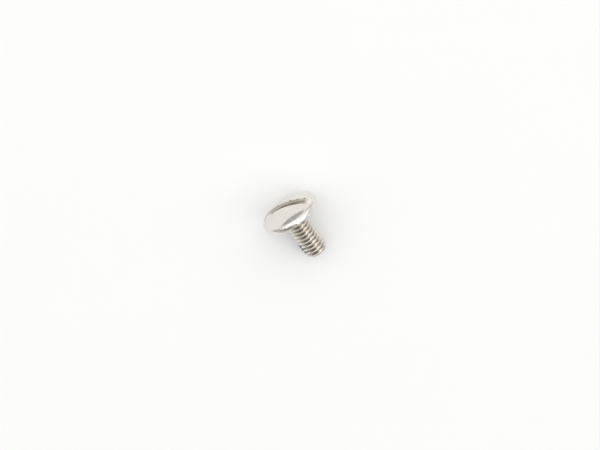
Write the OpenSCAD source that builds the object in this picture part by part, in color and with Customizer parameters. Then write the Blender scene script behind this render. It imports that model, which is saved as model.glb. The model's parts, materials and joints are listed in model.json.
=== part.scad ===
// Machine screw with a wide domed head and a driver slot right across it.
// Its shank is short and threaded, and carries a band of thread-locking compound near the tip.
// The screw is drawn upright, with its bearing face at zero and its shank downwards,
// and is then laid down as it comes to rest: on its rim and on the last full turn of its thread.

/* [Head] */
// Widest diameter of the head, across its rim
head_d = 8.5; // [8:0.1:9]
// Height of the head, from its bearing face to the top of the dome
head_h = 1.95; // [1.75:0.05:2.4]
// Height of the rim's upright wall above the bearing face
rim_h = 0.57; // [0.4:0.01:0.8]
// Rounding where the dome turns down into the rim
rim_top_round = 0.45; // [0.2:0.05:0.6]
// Rounding between the rim and the bearing face
rim_low_round = 0.3; // [0.1:0.05:0.35]

/* [Driver slot] */
// Width of the slot
slot_w = 1.2; // [0.8:0.05:1.4]
// Depth of the slot below the top of the dome
slot_depth = 1; // [0.8:0.05:1.3]
// Direction of the slot, turned about the screw's axis from the side that faces up
slot_turn = 60.5; // [0:0.5:180]

/* [Shank] */
// Length of the shank, from the bearing face to the tip
shank_l = 6.9; // [4:0.1:12]
// Nominal diameter of the thread
thread_d = 3.5; // [3.2:0.05:4]
// Pitch of the thread, the distance between two of its turns along the shank
pitch_l = 0.6; // [0.5:0.05:0.7]
// How much smaller than nominal the crests are, so that the screw turns freely in its nut
thread_allowance = 0.08; // [0.02:0.01:0.12]
// Height of the step from the crests up to the plain neck under the head
neck_step = 0.02; // [0.01:0.01:0.1]
// Length of the plain neck
neck_l = 0.7; // [0.5:0.05:1.2]
// Rounding between the neck and the bearing face
neck_fillet = 0.15; // [0.1:0.01:0.25]
// Length over which the grooves reach their full depth behind the neck
runout_l = 0.4; // [0.3:0.05:0.8]
// Direction in which the thread starts at the tip, turned about the screw's axis
thread_turn = 235; // [0:5:355]
// How far inside the root of the thread the chamfer ends at the flat tip
tip_inset = 0.02; // [0.02:0.01:0.2]

/* [Locking patch] */
// Distance between the tip and the patch
patch_tip_gap = 0.9; // [0.5:0.05:1.5]
// Length of the patch along the shank
patch_l = 1.5; // [1:0.1:2.5]
// Middle of the patch, turned about the screw's axis from the side that faces up
patch_turn = -112; // [-130:1:-50]
// How far the patch reaches round the shank
patch_span = 92; // [60:1:100]
// Thickness of the film of compound over the crests
patch_film = 0.04; // [0.02:0.01:0.06]

/* [Hidden] */

nickel = [0.76, 0.74, 0.70];
compound = [0.10, 0.36, 0.55];

// Head profile: the dome's sphere touches the rounding, which touches the rim's wall
head_r = head_d / 2;
round_x = head_r - rim_top_round;
dome_rise = head_h - rim_h;
dome_r = (pow(round_x, 2) + pow(dome_rise, 2) - pow(rim_top_round, 2)) / (2 * (dome_rise - rim_top_round));
dome_z = head_h - dome_r;
dome_angle = asin(round_x / (dome_r - rim_top_round));
dome_steps = 20;
round_steps = 6;

// Thread profile, with flanks at 60 degrees to each other
crest_r = (thread_d - thread_allowance) / 2;
thread_depth = 0.6134 * pitch_l;
deepest_share = 1.06;
crest_share = 0.125;
flank_share = thread_depth * tan(30) / pitch_l;
root_share = 1 - crest_share - 2 * flank_share;
// Points of one turn's profile: place as a share of the pitch, and depth as a share of the thread's
turn_profile = [
    [0, 0],
    [crest_share, 0],
    [crest_share + flank_share, 1],
    [crest_share + flank_share + root_share / 2, deepest_share],
    [crest_share + flank_share + root_share, 1]
];
profile_points = len(turn_profile);
facets = 36;

// Plain neck, and the tip with its 45 degree chamfer
neck_r = crest_r + neck_step;
tip_r = crest_r - deepest_share * thread_depth - tip_inset;
tip_z = -shank_l;
start_z = -neck_l;
// The thread's solid reaches this far into the neck, so that the two are one
joined_z = start_z + neck_l / 5;

// Turns of the thread's surface, with spare ones past both of its ends
spare_turns = 3;
first_z = tip_z + pitch_l * (thread_turn / 360 - spare_turns);
turns = ceil((shank_l - neck_l) / pitch_l) + 2 * spare_turns;
rows = turns * profile_points;

// The screw tips down about its rim until the first point of its thread meets the surface it rests on
rest_column = facets / 2;
tilt = min([for (row = [0 : rows - 1]) let (z = row_z(rest_column, row)) seat_angle(-z, surface_r(row, z))]);
rest_h = rim_low_round + (head_r - rim_low_round) * cos(tilt) - rim_low_round * sin(tilt);
far_x = shank_l * cos(tilt) + tip_r * sin(tilt);
near_x = -dome_z * cos(tilt) - dome_r;

patch_r = crest_r + patch_film;
patch_reach = 2 * patch_r;

// Points along an arc, from one angle to another
function arc(x, z, r, from, to, steps) =
    [for (i = [0 : steps]) let (a = from + (to - from) * i / steps) [x + r * cos(a), z + r * sin(a)]];

function clamped(value, low, high) = min(max(value, low), high);

// How far round and along the thread a point of its surface lies
function row_angle(column) = 360 * column / facets;

function row_turns(column, row) =
    floor(row / profile_points) + turn_profile[row % profile_points][0] + column / facets;

function row_z(column, row) = clamped(first_z + pitch_l * row_turns(column, row), tip_z, joined_z);

// Depth of the groove there: none at the neck, and full behind the run-out
function groove(row, z) =
    thread_depth * turn_profile[row % profile_points][1] * clamped((start_z - z) / runout_l, 0, 1);

function surface_r(row, z) = min(crest_r - groove(row, z), tip_r + z - tip_z);

// Angle between the axis and the surface when the rim and one point of the shank both touch it
function seat_angle(station, r) =
    let (run = station + rim_low_round, rise = head_r - rim_low_round - r)
    acos(-rim_low_round / norm([run, rise])) - atan2(run, rise);

function surface_point(column, row) =
    let (z = row_z(column, row), r = surface_r(row, z), a = row_angle(column))
    [r * cos(a), r * sin(a), z];

// The point that stands at a place in the list; one turn further round is one turn higher up
function index(column, row) =
    column < facets ? column * rows + row : row + profile_points;

// Whether a face's three corners stand apart
function is_real(points, face) =
    let (a = points[face[0]], b = points[face[1]], c = points[face[2]])
    a != b && b != c && c != a;

// The threaded part of the shank: a helix of crests and grooves from the neck to the chamfered tip
module thread() {
    points = [for (column = [0 : facets - 1]) for (row = [0 : rows - 1]) surface_point(column, row)];
    sides = [
        for (column = [0 : facets - 1])
        for (row = [0 : rows - 2 - profile_points])
        let (a = index(column, row), b = index(column + 1, row))
        for (face = [[a, a + 1, b + 1], [a, b + 1, b]])
        if (is_real(points, face)) face
    ];
    tip_face = [for (column = [0 : facets - 1]) index(column, 0)];
    neck_face = [for (column = [facets - 1 : -1 : 0]) index(column, rows - 1)];
    polyhedron(points = points, faces = concat(sides, [tip_face, neck_face]), convexity = 10);
}

// The head and the plain neck, turned in one piece
module blank() {
    profile = concat(
        [[0, start_z], [neck_r, start_z]],
        arc(neck_r + neck_fillet, -neck_fillet, neck_fillet, 180, 90, round_steps),
        arc(head_r - rim_low_round, rim_low_round, rim_low_round, -90, 0, round_steps),
        arc(round_x, rim_h, rim_top_round, 0, 90 - dome_angle, round_steps),
        [for (p = arc(0, dome_z, dome_r, 90 - dome_angle, 90, dome_steps)) if (p[1] > dome_z) p]
    );
    rotate_extrude($fn = 96)
        polygon(profile);
}

// The driver slot, sawn right across the dome
module slot() {
    rotate([0, 0, slot_turn])
        translate([-head_r, -slot_w / 2, head_h - slot_depth])
            cube([head_d, slot_w, head_h]);
}

// Sector that the patch keeps to, open towards the outside
module patch_sector() {
    rotate([0, 0, patch_turn])
        translate([0, 0, tip_z + patch_tip_gap])
            linear_extrude(height = patch_l)
                polygon([
                    [0, 0],
                    [patch_reach * cos(patch_span / 2), -patch_reach * sin(patch_span / 2)],
                    [patch_reach * cos(patch_span / 2), patch_reach * sin(patch_span / 2)]
                ]);
}

// Turns the upright screw on to its side, as it comes to rest on the surface at zero
module lay_down() {
    translate([-(near_x + far_x) / 2, 0, rest_h])
        rotate([0, tilt - 90, 0])
            children();
}

module screw() {
    color(nickel)
        lay_down()
            difference() {
                union() {
                    blank();
                    thread();
                }
                slot();
            }
}

// Thread-locking compound, which fills the grooves on one side and covers their crests thinly
module locking_patch() {
    color(compound)
        lay_down()
            difference() {
                intersection() {
                    translate([0, 0, tip_z])
                        cylinder(r = patch_r, h = shank_l - neck_l, $fn = 96);
                    patch_sector();
                }
                thread();
            }
}

screw();
locking_patch();
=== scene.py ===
import json
import math

import bmesh
import bpy
from bpy.props import FloatProperty, FloatVectorProperty, IntProperty, PointerProperty
from mathutils import Matrix, Vector, noise


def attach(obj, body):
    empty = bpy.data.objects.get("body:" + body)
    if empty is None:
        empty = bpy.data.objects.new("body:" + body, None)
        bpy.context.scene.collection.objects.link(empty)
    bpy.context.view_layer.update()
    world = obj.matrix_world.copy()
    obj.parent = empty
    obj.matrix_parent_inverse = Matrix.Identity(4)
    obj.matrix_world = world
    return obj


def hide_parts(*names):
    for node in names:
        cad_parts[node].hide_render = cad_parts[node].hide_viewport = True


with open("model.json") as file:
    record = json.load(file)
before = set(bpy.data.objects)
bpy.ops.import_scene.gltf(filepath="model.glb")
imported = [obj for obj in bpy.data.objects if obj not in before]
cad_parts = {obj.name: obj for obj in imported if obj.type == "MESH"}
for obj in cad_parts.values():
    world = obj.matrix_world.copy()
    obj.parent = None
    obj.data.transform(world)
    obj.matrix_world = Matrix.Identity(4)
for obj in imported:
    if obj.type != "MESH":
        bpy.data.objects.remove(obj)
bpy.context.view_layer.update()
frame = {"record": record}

bl_info = {
    "name": "Machine Screw",
    "version": (1, 0, 0),
    "blender": (4, 5, 0),
    "location": "3D View > Sidebar > Screw",
    "description": "A slotted machine screw with a band of locking compound, lying on a pale floor",
    "category": "Add Mesh",
}

ROOT = "root"
MM = 0.001
MOUNTS = {mount["name"]: mount for mount in frame["record"]["mounts"]}
UP = Vector((0, 0, 1))

# Sections are drawn and swept in millimetres, upright, with the bearing face at zero and the shank downwards
MERGE = 0.0005
COLUMNS = 168
SHARP_ANGLE = math.radians(34)
FLANK_ANGLE = math.radians(60)


def lay_down():
    """The matrix that takes the upright screw, in millimetres, to where the frame's screw lies."""
    mount = MOUNTS["bearing_face"]
    towards_head = -Vector(mount["axis"]).normalized()
    side = Vector((0, 1, 0))
    turned = Matrix((side.cross(towards_head), side, towards_head)).transposed().to_4x4()
    return Matrix.Translation(Vector(mount["pos_m"])) @ turned @ Matrix.Scale(MM, 4)


LAY_DOWN = lay_down()


def smoothstep(low, high, value):
    share = min(max((value - low) / (high - low), 0.0), 1.0)
    return share * share * (3 - 2 * share)


class ScrewSizes(bpy.types.PropertyGroup):
    """Sizes of the screw, in metres."""

    head_d: FloatProperty(name="Head diameter", description="Across the rim", default=0.008496, unit="LENGTH")
    head_h: FloatProperty(name="Head height", description="From bearing face to dome", default=0.00195, unit="LENGTH")
    rim_h: FloatProperty(name="Rim height", description="Top of the rim's wall", default=0.00057, unit="LENGTH")
    rim_top: FloatProperty(name="Upper rim rounding", description="Between dome and rim", default=0.00045, unit="LENGTH")
    rim_low: FloatProperty(name="Lower rim rounding", description="Under the rim", default=0.0003, unit="LENGTH")
    slot_w: FloatProperty(name="Slot width", description="Width of the driver slot", default=0.0012, unit="LENGTH")
    slot_depth: FloatProperty(name="Slot depth", description="Below the dome's top", default=0.001, unit="LENGTH")
    slot_turn: FloatProperty(
        name="Slot direction", description="Turned from the side that faces up", default=math.radians(60.5),
        subtype="ANGLE",
    )
    slot_lip: FloatProperty(name="Slot edge", description="Rounding of its edges", default=0.00004, unit="LENGTH")
    shank_l: FloatProperty(name="Shank length", description="From head to tip", default=0.0069, unit="LENGTH")
    crest_r: FloatProperty(name="Crest radius", description="Of the thread", default=0.001706, unit="LENGTH")
    pitch: FloatProperty(name="Pitch", description="Rise of the thread in a turn", default=0.0006, unit="LENGTH")
    thread_depth: FloatProperty(name="Thread depth", description="Crest to root", default=0.00036804, unit="LENGTH")
    crest_w: FloatProperty(name="Crest width", description="Flat of the crest", default=0.000075, unit="LENGTH")
    crest_round: FloatProperty(name="Crest rounding", description="Of its edges", default=0.00006, unit="LENGTH")
    runout: FloatProperty(name="Run-out", description="Where the grooves fade out", default=0.0004, unit="LENGTH")
    neck_r: FloatProperty(
        name="Neck radius", description="Plain part under the head",
        default=MOUNTS["neck"]["dims"]["r_mm"] * MM, unit="LENGTH",
    )
    neck_l: FloatProperty(name="Neck length", description="Plain part under the head", default=0.0007, unit="LENGTH")
    neck_fillet: FloatProperty(name="Neck fillet", description="Under the head", default=0.00015, unit="LENGTH")
    tip_r: FloatProperty(name="Tip radius", description="Inside its chamfer", default=0.001294, unit="LENGTH")
    thread_turn: FloatProperty(
        name="Thread start", description="Turned about the axis", default=math.radians(235), subtype="ANGLE",
    )


class CompoundSizes(bpy.types.PropertyGroup):
    """Sizes of the band of locking compound, in metres."""

    tip_gap: FloatProperty(name="Distance to tip", description="Bare thread before it", default=0.0009, unit="LENGTH")
    length: FloatProperty(name="Length", description="Along the shank", default=0.0015, unit="LENGTH")
    turn: FloatProperty(
        name="Direction", description="Its middle, turned about the axis", default=math.radians(-112), subtype="ANGLE",
    )
    span: FloatProperty(name="Span", description="How far round it reaches", default=math.radians(92), subtype="ANGLE")
    film: FloatProperty(name="Film", description="Thickness over the crests", default=0.00004, unit="LENGTH")
    columns: IntProperty(name="Columns", description="Faces across the band", default=92, min=8)


class Finishes(bpy.types.PropertyGroup):
    """Colours of the finishes."""

    plating: FloatVectorProperty(
        name="Plating", description="Bright nickel", default=(0.77, 0.737, 0.69), subtype="COLOR", min=0, max=1,
    )
    # Painted shade for the thread: the colour the grooves are darkened to, standing in for the shade that falls in them
    groove_shade_colour: FloatVectorProperty(
        name="Groove shade", description="In the slot and the grooves", default=(0.33, 0.27, 0.19), subtype="COLOR",
        min=0, max=1,
    )
    compound: FloatVectorProperty(
        name="Compound", description="Dried locking compound", default=(0.15, 0.28, 0.36), subtype="COLOR",
        min=0, max=1,
    )


class StageSettings(bpy.types.PropertyGroup):
    """The floor, the lamps and the camera."""

    floor: FloatVectorProperty(
        name="Floor", description="Colour of the floor", default=(0.885, 0.885, 0.875), subtype="COLOR", min=0, max=1,
    )
    view_w: FloatProperty(name="View width", description="Shown across the picture", default=0.08387, unit="LENGTH")
    lens: FloatProperty(name="Lens", description="Focal length in millimetres", default=90.0, min=20, max=300)
    turn: FloatProperty(
        name="Camera turn", description="From the row's X axis to the picture's right", default=math.radians(55.2),
        subtype="ANGLE",
    )
    lean: FloatProperty(
        name="Camera lean", description="From straight overhead", default=math.radians(4.8), subtype="ANGLE",
    )


class Pen:
    """Draws a section in the XZ plane, stroke by stroke, with bmesh operators."""

    def __init__(self, mesh, x, z):
        self.mesh = mesh
        self.point = mesh.verts.new((x, 0, z))

    def line(self, x, z, steps=1):
        start, end = self.point.co.copy(), Vector((x, 0, z))
        for step in range(1, steps + 1):
            made = bmesh.ops.extrude_vert_indiv(self.mesh, verts=[self.point])
            self.point = made["verts"][0]
            self.point.co = start.lerp(end, step / steps)

    def arc(self, x, z, angle, steps):
        """Turns about a point, from X towards Z for a positive angle."""
        made = bmesh.ops.spin(
            self.mesh, geom=[self.point], cent=(x, 0, z), axis=(0, -1, 0), angle=angle, steps=steps,
        )
        self.point = next(part for part in made["geom_last"] if isinstance(part, bmesh.types.BMVert))


def turned(mesh, columns):
    """Spins the drawn section all the way round the upright axis."""
    bmesh.ops.spin(
        mesh, geom=mesh.verts[:] + mesh.edges[:], cent=(0, 0, 0), axis=UP, angle=math.tau, steps=columns,
        use_merge=True,
    )
    bmesh.ops.remove_doubles(mesh, verts=mesh.verts[:], dist=MERGE)


def joined(target, part):
    """Moves a finished part's faces into the target mesh."""
    shared = bpy.data.meshes.new("part")
    part.to_mesh(shared)
    part.free()
    target.from_mesh(shared)
    bpy.data.meshes.remove(shared)


def finished(mesh, name, finish, node):
    """Lays a mesh down in the frame, and makes it the piece that stands for a node."""
    bmesh.ops.dissolve_degenerate(mesh, dist=MERGE / 5, edges=mesh.edges[:])
    bmesh.ops.recalc_face_normals(mesh, faces=mesh.faces[:])
    for face in mesh.faces:
        face.smooth = True
    for edge in mesh.edges:
        edge.smooth = not edge.is_manifold or edge.calc_face_angle(0) < SHARP_ANGLE
    bmesh.ops.transform(mesh, matrix=LAY_DOWN, verts=mesh.verts[:])
    data = bpy.data.meshes.new(name)
    mesh.to_mesh(data)
    mesh.free()
    piece = bpy.data.objects.new(name, data)
    bpy.context.scene.collection.objects.link(piece)
    data.materials.append(finish)
    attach(piece, ROOT)
    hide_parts(node)
    return piece


class ThreadForm:
    """The thread's section and where it fades out, in millimetres."""

    CREST_STEPS = 3
    FLANK_STEPS = 4
    ROOT_STEPS = 6
    SPARE_TURNS = 2

    def __init__(self, sizes):
        self.crest_r = sizes.crest_r / MM
        self.pitch = sizes.pitch / MM
        self.depth = sizes.thread_depth / MM
        self.crest_w = sizes.crest_w / MM
        self.crest_round = sizes.crest_round / MM
        self.runout = sizes.runout / MM
        self.tip_r = sizes.tip_r / MM
        self.tip_z = -sizes.shank_l / MM
        self.start_z = -sizes.neck_l / MM
        self.turn = sizes.thread_turn / math.tau
        self.flank_run = self.depth / math.tan(FLANK_ANGLE)
        self.root_w = self.pitch - self.crest_w - 2 * self.flank_run
        self.root_round = self.root_w / (2 * math.sin(FLANK_ANGLE))

    def draw(self, mesh, low, high):
        """Draws the section from below one height to above another."""
        base = self.tip_z + self.pitch * self.turn
        first = math.floor((low - base) / self.pitch) - self.SPARE_TURNS
        last = math.ceil((high - base) / self.pitch) + self.SPARE_TURNS
        tangent = self.crest_round * math.tan(FLANK_ANGLE / 2)
        run, fall = tangent * math.cos(FLANK_ANGLE), tangent * math.sin(FLANK_ANGLE)
        root_r = self.crest_r - self.depth
        pen = Pen(mesh, self.crest_r, base + first * self.pitch + self.crest_w / 2)
        for turn in range(first, last):
            z = base + turn * self.pitch
            pen.line(self.crest_r, z + self.crest_w - tangent)
            pen.arc(self.crest_r - self.crest_round, z + self.crest_w - tangent, FLANK_ANGLE, self.CREST_STEPS)
            pen.line(root_r, z + self.crest_w + self.flank_run, self.FLANK_STEPS)
            pen.arc(
                root_r + self.root_round * math.cos(FLANK_ANGLE), z + self.pitch - self.flank_run - self.root_w / 2,
                -2 * FLANK_ANGLE, self.ROOT_STEPS,
            )
            pen.line(self.crest_r - fall, z + self.pitch - run, self.FLANK_STEPS)
            pen.arc(self.crest_r - self.crest_round, z + self.pitch + tangent, FLANK_ANGLE, self.CREST_STEPS)
            pen.line(self.crest_r, z + self.pitch + self.crest_w / 2)

    def sweep(self, mesh, start, angle, steps):
        """Sweeps the drawn section along the helix, from a start angle on."""
        bmesh.ops.translate(mesh, vec=(0, 0, self.pitch * start / math.tau), verts=mesh.verts[:])
        bmesh.ops.rotate(mesh, cent=(0, 0, 0), matrix=Matrix.Rotation(start, 3, UP), verts=mesh.verts[:])
        bmesh.ops.spin(
            mesh, geom=mesh.verts[:] + mesh.edges[:], cent=(0, 0, 0), axis=UP, angle=angle, steps=steps,
            dvec=(0, 0, self.pitch * angle / math.tau / steps),
        )

    def radius(self, drawn_r, z):
        """The surface's radius at a height, faded out at the neck and cut off at the tip's chamfer."""
        groove = (self.crest_r - drawn_r) * min(max((self.start_z - z) / self.runout, 0.0), 1.0)
        return min(self.crest_r - groove, self.tip_r + z - self.tip_z)

    def trim(self, mesh):
        for vert in mesh.verts:
            drawn_r = math.hypot(vert.co.x, vert.co.y)
            vert.co.z = min(max(vert.co.z, self.tip_z), self.start_z)
            share = self.radius(drawn_r, vert.co.z) / drawn_r
            vert.co.x *= share
            vert.co.y *= share


def dome(sizes):
    """Radius of the dome's sphere in millimetres, and the angle from its top to where the rounding starts."""
    top = sizes.rim_top / MM
    round_x, rise = sizes.head_d / 2 / MM - top, (sizes.head_h - sizes.rim_h) / MM
    radius = (round_x**2 + rise**2 - top**2) / (2 * (rise - top))
    return radius, math.asin(round_x / (radius - top))


def head_section(mesh, sizes):
    """From the top of the dome round the rim to the start of the thread."""
    head_r, head_h = sizes.head_d / 2 / MM, sizes.head_h / MM
    rim_h, top, low = sizes.rim_h / MM, sizes.rim_top / MM, sizes.rim_low / MM
    neck_r, neck_l, fillet = sizes.neck_r / MM, sizes.neck_l / MM, sizes.neck_fillet / MM
    round_x = head_r - top
    dome_r, dome_angle = dome(sizes)
    pen = Pen(mesh, 0, head_h)
    pen.arc(0, head_h - dome_r, -dome_angle, 44)
    pen.arc(round_x, rim_h, dome_angle - math.pi / 2, 12)
    pen.line(head_r, low, 4)
    pen.arc(head_r - low, low, -math.pi / 2, 10)
    pen.line(neck_r + fillet, 0, 10)
    pen.arc(neck_r + fillet, -fillet, math.pi / 2, 6)
    pen.line(neck_r, -neck_l, 6)
    pen.line(sizes.crest_r / MM, -neck_l)


def tip_section(mesh, form):
    """The tip's face, a little dished as rolling leaves it."""
    pen = Pen(mesh, form.tip_r, form.tip_z)
    for share, dish in ((0.9, 0.004), (0.78, 0.022), (0.6, 0.04), (0.4, 0.05), (0.2, 0.055), (0, 0.056)):
        pen.line(form.tip_r * share, form.tip_z + dish, 2)


def cut(mesh, faces, point, normal):
    geometry = {part for face in faces for part in (*face.verts, *face.edges, face)}
    bmesh.ops.bisect_plane(mesh, geom=list(geometry), plane_co=point, plane_no=normal, dist=MERGE / 5)


def saw_slot(mesh, sizes):
    """Cuts the driver slot right across the dome, with softened edges and corners."""
    half, lip = sizes.slot_w / 2 / MM, sizes.slot_lip / MM
    floor_z = (sizes.head_h - sizes.slot_depth) / MM
    above = sizes.rim_h / MM
    across = Vector((-math.sin(sizes.slot_turn), math.cos(sizes.slot_turn), 0))

    def offset(item):
        return item.co.dot(across)

    def head_faces(reach):
        return [
            face for face in mesh.faces
            if face.calc_center_median().z > above and min(abs(offset(vert)) for vert in face.verts) < reach
        ]

    for side in (-1, 1):
        for reach in (half, half + lip * 0.15, half + lip * 0.45, half + lip):
            cut(mesh, head_faces(half + 1), across * side * reach, across)
    inside = [face for face in head_faces(half) if abs(face.calc_center_median().dot(across)) < half]
    cut(mesh, inside, Vector((0, 0, floor_z)), UP)
    for vert in mesh.verts:
        past = abs(offset(vert)) - half
        if vert.co.z > floor_z + lip and -MERGE < past < lip:
            vert.co.z -= lip - math.sqrt(max(lip**2 - (lip - max(past, 0)) ** 2, 0))
    gone = [
        face for face in mesh.faces
        if face.calc_center_median().z > floor_z and abs(face.calc_center_median().dot(across)) < half
    ]
    bmesh.ops.delete(mesh, geom=gone, context="FACES")
    edges = [
        edge for edge in mesh.edges
        if edge.is_boundary and all(vert.co.z > floor_z - MERGE and abs(abs(offset(vert)) - half) < MERGE
                                    for vert in edge.verts)
    ]
    corner = 0.07
    steps = [(0, floor_z + corner + 0.25), (0, floor_z + corner)]
    steps += [
        (corner * (1 - math.cos(angle)), floor_z + corner * (1 - math.sin(angle)))
        for angle in (math.pi / 8, math.pi / 4, 3 * math.pi / 8, math.pi / 2)
    ]
    for inward, height in steps:
        made = bmesh.ops.extrude_edge_only(mesh, edges=edges)["geom"]
        edges = [part for part in made if isinstance(part, bmesh.types.BMEdge)]
        for vert in {vert for edge in edges for vert in edge.verts}:
            side = math.copysign(1, offset(vert))
            vert.co += across * (side * (half - inward) - offset(vert))
            vert.co.z = min(vert.co.z, height)
    bmesh.ops.remove_doubles(mesh, verts=mesh.verts[:], dist=MERGE)
    rim = [edge for edge in mesh.edges if edge.is_boundary and edge.verts[0].co.z > above]
    made = bmesh.ops.holes_fill(mesh, edges=rim, sides=0)["faces"]
    if not made:
        raise RuntimeError("the slot's floor could not be filled")
    bmesh.ops.triangulate(mesh, faces=made)


class Value:
    """A socket of a finish's nodes, on which sums can be written."""

    def __init__(self, finish, socket):
        self.finish = finish
        self.socket = socket

    def math(self, operation, *values, clamp=False):
        return self.finish.node(
            "ShaderNodeMath", {"operation": operation, "use_clamp": clamp}, dict(enumerate((self, *values))),
        )

    def __add__(self, other):
        return self.math("ADD", other)

    def __sub__(self, other):
        return self.math("SUBTRACT", other)

    def __mul__(self, other):
        return self.math("MULTIPLY", other)

    def __rsub__(self, other):
        return self.finish.node("ShaderNodeMath", {"operation": "SUBTRACT"}, {0: other, 1: self})

    __radd__ = __add__
    __rmul__ = __mul__

    def part(self, name):
        """Another output of the same node."""
        return Value(self.finish, self.socket.node.outputs[name])

    def between(self, low, high):
        """0 below low, 1 above high, and smooth between them."""
        return self.finish.node(
            "ShaderNodeMapRange", {"interpolation_type": "SMOOTHSTEP"}, {0: self, 1: low, 2: high, 3: 0.0, 4: 1.0},
        )


class Finish:
    """A material made from nodes."""

    def __init__(self, name):
        self.material = bpy.data.materials.new(name)
        self.material.use_nodes = True
        self.tree = self.material.node_tree
        self.tree.nodes.clear()

    def node(self, kind, settings=None, inputs=None):
        """Adds a node: its settings first, then the values or links of its sockets. Returns its first output."""
        made = self.tree.nodes.new(kind)
        for name, value in (settings or {}).items():
            if name == "stops":
                ramp = made.color_ramp
                while len(ramp.elements) < len(value):
                    ramp.elements.new(0.5)
                for element, (place, colour) in zip(ramp.elements, value):
                    element.position, element.color = place, (*colour, 1)
            else:
                setattr(made, name, value)
        for name, value in (inputs or {}).items():
            if isinstance(value, Value):
                self.tree.links.new(value.socket, made.inputs[name])
            else:
                made.inputs[name].default_value = value
        return Value(self, made.outputs[0]) if made.outputs else None

    def noise(self, place, scale, detail=2.0, roughness=0.5):
        return self.node(
            "ShaderNodeTexNoise", {"noise_dimensions": "3D"},
            {"Vector": place, "Scale": scale, "Detail": detail, "Roughness": roughness},
        )

    def mix(self, share, first, second):
        """Mixes two colours."""
        made = self.node("ShaderNodeMix", {"data_type": "RGBA"}, {0: share, 6: first, 7: second})
        return Value(self, made.socket.node.outputs[2])

    def upright(self):
        """Places on the upright screw, in millimetres, from the laid-down piece's own coordinates."""
        place = Value(self, self.node("ShaderNodeTexCoord").socket.node.outputs["Object"])
        back = LAY_DOWN.inverted()
        return self.node(
            "ShaderNodeMapping", {"vector_type": "POINT"},
            {"Vector": place, "Location": back.to_translation(), "Rotation": back.to_euler(), "Scale": back.to_scale()},
        )

    def shine(self, **inputs):
        """Adds the surface shader and the output."""
        shader = self.node(
            "ShaderNodeBsdfPrincipled", {}, {name.replace("_", " "): value for name, value in inputs.items()}
        )
        self.node("ShaderNodeOutputMaterial", {}, {"Surface": shader})
        return self.material


def rgba(colour):
    return (*colour, 1.0)


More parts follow.
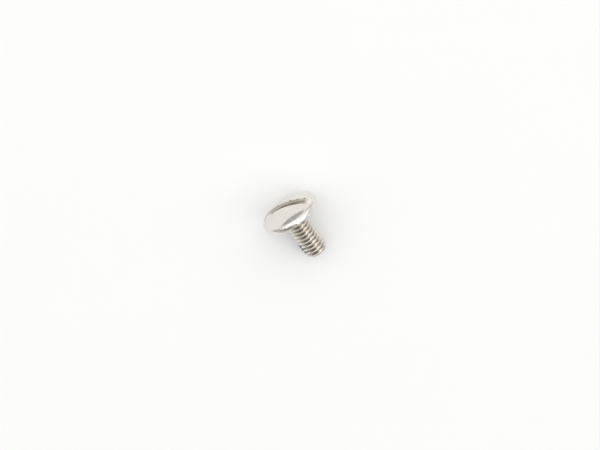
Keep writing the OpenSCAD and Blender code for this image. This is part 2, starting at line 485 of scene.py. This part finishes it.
def plating_finish(sizes, colours):
    """Bright nickel, marked by handling, with painted shade in the grooves, painted light and shade in the slot, and
    painted dark nicks along one lip of the slot.
    """
    finish = Finish("nickel plating")
    place = finish.upright()
    parts = finish.node("ShaderNodeSeparateXYZ", {}, {0: place})
    x, y, z = parts.part("X"), parts.part("Y"), parts.part("Z")
    axis_distance = (x * x + y * y).math("SQRT")
    crest_r, depth = sizes.crest_r / MM, sizes.thread_depth / MM
    on_shank = 1 - z.between(-sizes.neck_l / MM, 0.0)
    tip_z = -sizes.shank_l / MM
    groove = (1 - axis_distance.between(crest_r - depth, crest_r - depth * 0.35)) * on_shank
    # The painted groove shade is left off the last bit of thread at the tip, so the tip stays bright
    groove = groove * z.between(tip_z + 0.02, tip_z + 0.10)
    turn = sizes.slot_turn
    sideways = y * math.cos(turn) - x * math.sin(turn)
    across = sideways.math("ABSOLUTE")
    half, head_r = sizes.slot_w / 2 / MM, sizes.head_d / 2 / MM
    floor_z = (sizes.head_h - sizes.slot_depth) / MM
    dome_r, _ = dome(sizes)
    dome_drop = dome_r - (dome_r * dome_r - axis_distance * axis_distance).math("SQRT")
    below_dome = (sizes.head_h / MM - dome_drop) - z
    in_slot = (1 - across.between(half, half + 0.015)) * below_dome.between(0.01, 0.05)
    in_slot = in_slot * z.between(floor_z - 0.03, floor_z)
    on_rim = axis_distance.between(head_r - 0.35, head_r - 0.2) * z.between(-0.05, 0.1)
    blotch = finish.noise(place, 1.6, 4.0, 0.62)
    fine = finish.noise(place, 14.0, 3.0, 0.6)
    # Painted shade: the grooves darken unevenly towards their roots, and are rougher there
    painted_groove_shade = groove * (0.45 + blotch * 0.5)
    along = x * math.cos(turn) + y * math.sin(turn)
    streak = finish.noise(finish.node(
        "ShaderNodeCombineXYZ", {}, {"X": along * 0.55, "Y": across * 4.0, "Z": below_dome * 5.0},
    ), 1.6, 3.0, 0.6)
    brushed = finish.noise(finish.node(
        "ShaderNodeCombineXYZ", {}, {"X": along * 0.6, "Y": sideways * 2.8, "Z": z * 0.6},
    ), 1.0, 3.0, 0.6)
    tint = (blotch * 0.4 + brushed * 0.6).between(0.38, 0.64)
    tint = finish.mix(tint, rgba(colours.plating), (0.81, 0.775, 0.725, 1))
    colour = finish.mix(painted_groove_shade, tint, rgba(colours.groove_shade_colour))
    # Painted light and shade in the slot: a dark line just under the lips, a pale band below it and a darker deep part,
    # streaked, and paler towards one end of the slot
    painted_lip_shade = 1 - below_dome.between(0.09, 0.15)
    painted_slot_shade = painted_lip_shade.math("MAXIMUM", below_dome.between(0.28, 0.42)) * streak.between(0.28, 0.55)
    painted_slot_shade = painted_slot_shade * (1 - along.between(2.3, 3.3) * 0.85)
    colour = finish.mix(in_slot, colour, finish.mix(painted_slot_shade, (0.95, 0.92, 0.87, 1), (0.44, 0.39, 0.32, 1)))
    # Painted shade: near-black nicks along one lip of the slot, with no nicks cut in the mesh
    painted_nick_shade = finish.noise(finish.node("ShaderNodeCombineXYZ", {}, {"X": along * 1.9}), 1.0, 1.0)
    painted_nick_shade = (painted_nick_shade + fine * 0.12 - (sideways - half) * 0.75).between(0.58, 0.64) * sideways.between(half - 0.02, half)
    painted_nick_shade = painted_nick_shade * (1 - below_dome.between(0.05, 0.12)) * z.between(floor_z, floor_z + 0.05)
    colour = finish.mix(painted_nick_shade, colour, (0.07, 0.06, 0.05, 1))
    marks = finish.node(
        "ShaderNodeTexVoronoi", {"feature": "DISTANCE_TO_EDGE"}, {"Vector": place, "Scale": 2.2},
    )
    scratch = (1 - marks.between(0.0, 0.02)) * fine.between(0.5, 0.62)
    roughness = 0.05 + blotch * 0.05 + painted_groove_shade * 0.30 + scratch * 0.15 + in_slot * 0.35
    dents = finish.noise(place, 4.5, 2.0, 0.6)
    height = fine * 0.5 + finish.noise(place, 3.5, 2.0) * 1.0 - scratch * 0.4 + on_rim * dents * 25.0
    bump = finish.node(
        "ShaderNodeBump", {}, {"Strength": 0.35, "Distance": 0.000006, "Height": height},
    )
    return finish.shine(Base_Color=colour, Metallic=1.0 - in_slot * 0.35, Roughness=roughness, Normal=bump)


def compound_finish(colours):
    """Dried locking compound: matt, grainy and uneven in colour."""
    finish = Finish("locking compound")
    place = finish.upright()
    cloud = finish.noise(place, 2.4, 3.0)
    grain = finish.noise(place, 26.0, 2.0, 0.7)
    along = finish.node("ShaderNodeSeparateXYZ", {}, {0: place}).part("Z")
    pale = (0.26, 0.36, 0.40, 1)
    colour = finish.mix(cloud.between(0.42, 0.72) * 0.6, rgba(colours.compound), pale)
    deep = finish.mix(grain.between(0.3, 0.7), (0.09, 0.19, 0.25, 1), colour)
    worn = ((along + 5.12 + cloud * 0.35 - grain * 0.1).math("ABSOLUTE") - 0.1).between(0.05, 0.28)
    deep = finish.mix(worn * 0.8, deep, (0.27, 0.28, 0.25, 1))
    bump = finish.node(
        "ShaderNodeBump", {}, {"Strength": 0.5, "Distance": 0.00001, "Height": grain + cloud * 0.5},
    )
    return finish.shine(Base_Color=deep, Roughness=0.5 + grain * 0.25, Normal=bump)


def floor_finish(stage):
    """A pale floor that keeps the shadow, and shows as pale to the camera and in the metal."""
    finish = Finish("pale floor")
    place = Value(finish, finish.node("ShaderNodeTexCoord").socket.node.outputs["Object"])
    mottle = finish.noise(place, 60.0, 2.0)
    tone = finish.mix(mottle, rgba(stage.floor), rgba([c * 0.985 for c in stage.floor]))
    rays = finish.node("ShaderNodeLightPath")
    seen = rays.part("Is Camera Ray").math("MAXIMUM", rays.part("Is Glossy Ray"))
    seen = seen.math("MAXIMUM", rays.part("Is Transmission Ray"))
    lit = finish.node("ShaderNodeBsdfDiffuse", {}, {"Color": tone})
    glow = finish.node("ShaderNodeEmission", {}, {"Color": (0.975, 0.975, 0.965, 1), "Strength": 1.0})
    surface = finish.node("ShaderNodeMixShader", {}, {0: seen * 0.10, 1: lit, 2: glow})
    finish.node("ShaderNodeOutputMaterial", {}, {"Surface": surface})
    return finish.material


def grown_compound(sizes, compound):
    """The band of compound, grown outwards from the thread it lies on, as a closed mesh."""
    form = ThreadForm(sizes)
    low = form.tip_z + compound.tip_gap / MM
    high = low + compound.length / MM
    film = compound.film / MM
    sink = 0.012
    mesh = bmesh.new()
    form.draw(mesh, low - form.pitch, high)
    form.sweep(mesh, compound.turn - compound.span / 2, compound.span, compound.columns)
    for height, normal in ((low, -UP), (high, UP)):
        bmesh.ops.bisect_plane(
            mesh, geom=mesh.verts[:] + mesh.edges[:] + mesh.faces[:], plane_co=(0, 0, height), plane_no=normal,
            dist=MERGE, clear_outer=True,
        )
    bmesh.ops.remove_doubles(mesh, verts=mesh.verts[:], dist=MERGE)
    inner = mesh.verts[:]
    outer = bmesh.ops.extrude_face_region(mesh, geom=mesh.faces[:])["geom"]
    outer = [part for part in outer if isinstance(part, bmesh.types.BMVert)]

    def grow(vert, amount):
        distance = math.hypot(vert.co.x, vert.co.y)
        share = (distance + amount) / distance
        vert.co.x *= share
        vert.co.y *= share

    for vert in outer:
        distance = math.hypot(vert.co.x, vert.co.y)
        angle = math.atan2(vert.co.y, vert.co.x) - compound.turn
        angle = (angle + math.pi) % math.tau - math.pi
        side = (compound.span / 2 - abs(angle)) * form.crest_r
        end = min(vert.co.z - low, high - vert.co.z)
        ragged = noise.fractal(vert.co * 2.6, 0.8, 2.0, 3) * 0.22
        full = smoothstep(0.02, 0.30, side + ragged) * smoothstep(0.0, 0.16, end + ragged * 0.7)
        gap = form.crest_r + film - distance
        sag = 0.45 * (1 - film / gap) if gap > film else 0.0
        lumps = 1 - 0.25 * abs(noise.noise(vert.co * 9.0))
        grow(vert, full * gap * (1 - sag) * lumps - sink * (1 - full))
    kept = set(outer)
    for vert in inner:
        if vert not in kept:
            grow(vert, -2 * sink)
    return mesh


class MESH_OT_machine_screw(bpy.types.Operator):
    """Build the screw: head, rim, driver slot, neck, thread and tip in one mesh"""

    bl_idname = "mesh.machine_screw"
    bl_label = "Build Screw"

    def execute(self, context):
        sizes, colours = context.scene.screw_sizes, context.scene.screw_finishes
        form = ThreadForm(sizes)
        screw = bmesh.new()
        head_section(screw, sizes)
        turned(screw, COLUMNS)
        saw_slot(screw, sizes)
        tip = bmesh.new()
        tip_section(tip, form)
        turned(tip, COLUMNS)
        joined(screw, tip)
        thread = bmesh.new()
        form.draw(thread, form.tip_z, form.start_z)
        form.sweep(thread, 0.0, math.tau, COLUMNS)
        form.trim(thread)
        bmesh.ops.remove_doubles(thread, verts=thread.verts[:], dist=MERGE)
        joined(screw, thread)
        bmesh.ops.remove_doubles(screw, verts=screw.verts[:], dist=MERGE)
        open_edges = sum(not edge.is_manifold for edge in screw.edges)
        print("screw", len(screw.verts), "vertices", len(screw.faces), "faces", open_edges, "open edges")
        finished(screw, "screw_body", plating_finish(sizes, colours), "screw")
        return {"FINISHED"}


class MESH_OT_locking_compound(bpy.types.Operator):
    """Build the band of locking compound on the thread near the tip"""

    bl_idname = "mesh.locking_compound"
    bl_label = "Build Locking Compound"

    def execute(self, context):
        scene = context.scene
        mesh = grown_compound(scene.screw_sizes, scene.compound_sizes)
        open_edges = sum(not edge.is_manifold for edge in mesh.edges)
        print("compound", len(mesh.faces), "faces", open_edges, "open edges")
        finished(mesh, "compound_band", compound_finish(scene.screw_finishes), "locking_patch")
        return {"FINISHED"}


class SCENE_OT_screw_stage(bpy.types.Operator):
    """Build the floor, the lamps and the camera"""

    bl_idname = "scene.screw_stage"
    bl_label = "Build Stage"

    def execute(self, context):
        scene, stage = context.scene, context.scene.screw_stage
        mesh = bmesh.new()
        bmesh.ops.create_grid(mesh, x_segments=1, y_segments=1, size=1.5)
        data = bpy.data.meshes.new("floor")
        mesh.to_mesh(data)
        mesh.free()
        data.materials.append(floor_finish(stage))
        floor = bpy.data.objects.new("floor", data)
        scene.collection.objects.link(floor)

        right = Vector((math.cos(stage.turn), math.sin(stage.turn), 0))
        level_up = UP.cross(right)
        towards = UP * math.cos(stage.lean) + level_up * math.sin(stage.lean)
        picture_up = towards.cross(right)

        world = bpy.data.worlds.new("studio")
        scene.world = world
        world.use_nodes = True
        world.node_tree.nodes.clear()
        nodes, links = world.node_tree.nodes, world.node_tree.links
        rays = nodes.new("ShaderNodeLightPath")
        seen, room = nodes.new("ShaderNodeBackground"), nodes.new("ShaderNodeBackground")
        seen.inputs["Color"].default_value = (0.93, 0.93, 0.92, 1)
        room.inputs["Color"].default_value = (0.24, 0.24, 0.24, 1)
        choice, output = nodes.new("ShaderNodeMixShader"), nodes.new("ShaderNodeOutputWorld")
        links.new(rays.outputs["Is Camera Ray"], choice.inputs[0])
        links.new(room.outputs[0], choice.inputs[1])
        links.new(seen.outputs[0], choice.inputs[2])
        links.new(choice.outputs[0], output.inputs[0])

        def panel(name, place, across, back, width, depth, radiance):
            """An evenly bright rectangle, placed by metres rightwards, picture-upwards and overhead."""
            lamp = bpy.data.lights.new(name, "AREA")
            lamp.shape, lamp.size, lamp.size_y = "RECTANGLE", width, depth
            lamp.energy = radiance * math.pi * width * depth
            made = bpy.data.objects.new(name, lamp)
            scene.collection.objects.link(made)
            view = Matrix((right, level_up, UP)).transposed()
            across, back = Vector(across), Vector(back)
            made.location = view @ Vector(place)
            made.rotation_euler = (view @ Matrix((across, back.cross(across), back)).transposed()).to_euler()

        panel("overhead softbox", (0.25, 0.43, 0.60), (1, 0, 0), (0, 0, 1), 3.2, 1.94, 0.98)
        panel("key softbox", (-0.42, 0.24, 0.50), (1, 0, 0), (0, 0, 1), 0.30, 0.30, 0.9)
        panel("bench light", (0.58, -0.30, 0.59), (1, 0, 0), (0, 0, 1), 0.70, 0.42, 1.15)
        panel("far wall", (0.35, 1.42, 0.29), (1, 0, 0), (0, 1, 0), 3.1, 0.6, 0.25)
        panel("left wall", (-1.17, 0.45, 0.29), (0, 1, 0), (-1, 0, 0), 1.95, 0.6, 0.22)
        panel("near wall", (0.35, -1.10, 0.19), (1, 0, 0), (0, -1, 0), 3.1, 0.38, 0.38)
        panel("right wall", (1.87, 0.45, 0.29), (0, 1, 0), (1, 0, 0), 1.95, 0.6, 0.38)

        camera = bpy.data.objects.new("camera", bpy.data.cameras.new("camera"))
        scene.collection.objects.link(camera)
        camera.data.lens = stage.lens
        camera.data.sensor_width = 36.0
        distance = stage.view_w / 2 * stage.lens / 18.0
        bearing = Vector(MOUNTS["bearing_face"]["pos_m"])
        pixel = stage.view_w / 600
        target = bearing - right * (-8.4 * pixel) - picture_up * (9.9 * pixel)
        camera.location = target + towards * distance
        camera.rotation_mode = "QUATERNION"
        camera.rotation_quaternion = Matrix((right, picture_up, towards)).transposed().to_quaternion()
        camera.data.clip_start, camera.data.clip_end = 0.001, 10.0
        scene.camera = camera
        scene.view_settings.view_transform = "Standard"
        return {"FINISHED"}


class VIEW3D_PT_machine_screw(bpy.types.Panel):
    """Lists the screw's pieces and their sizes"""

    bl_label = "Machine Screw"
    bl_space_type = "VIEW_3D"
    bl_region_type = "UI"
    bl_category = "Screw"

    def draw(self, context):
        for group, operator in (
            ("screw_sizes", "mesh.machine_screw"), ("compound_sizes", "mesh.locking_compound"),
            ("screw_finishes", None), ("screw_stage", "scene.screw_stage"),
        ):
            box = self.layout.box()
            settings = getattr(context.scene, group)
            for name in settings.__annotations__:
                box.prop(settings, name)
            if operator:
                box.operator(operator)


GROUPS = {
    "screw_sizes": ScrewSizes, "compound_sizes": CompoundSizes, "screw_finishes": Finishes,
    "screw_stage": StageSettings,
}
CLASSES = (
    *GROUPS.values(), MESH_OT_machine_screw, MESH_OT_locking_compound, SCENE_OT_screw_stage,
    VIEW3D_PT_machine_screw,
)


def register():
    for cls in CLASSES:
        bpy.utils.register_class(cls)
    for name, group in GROUPS.items():
        setattr(bpy.types.Scene, name, PointerProperty(type=group))


def unregister():
    for name in GROUPS:
        delattr(bpy.types.Scene, name)
    for cls in reversed(CLASSES):
        bpy.utils.unregister_class(cls)


def main():
    register()
    bpy.ops.mesh.machine_screw()
    bpy.ops.mesh.locking_compound()
    bpy.ops.scene.screw_stage()


if __name__ == "__main__":
    main()
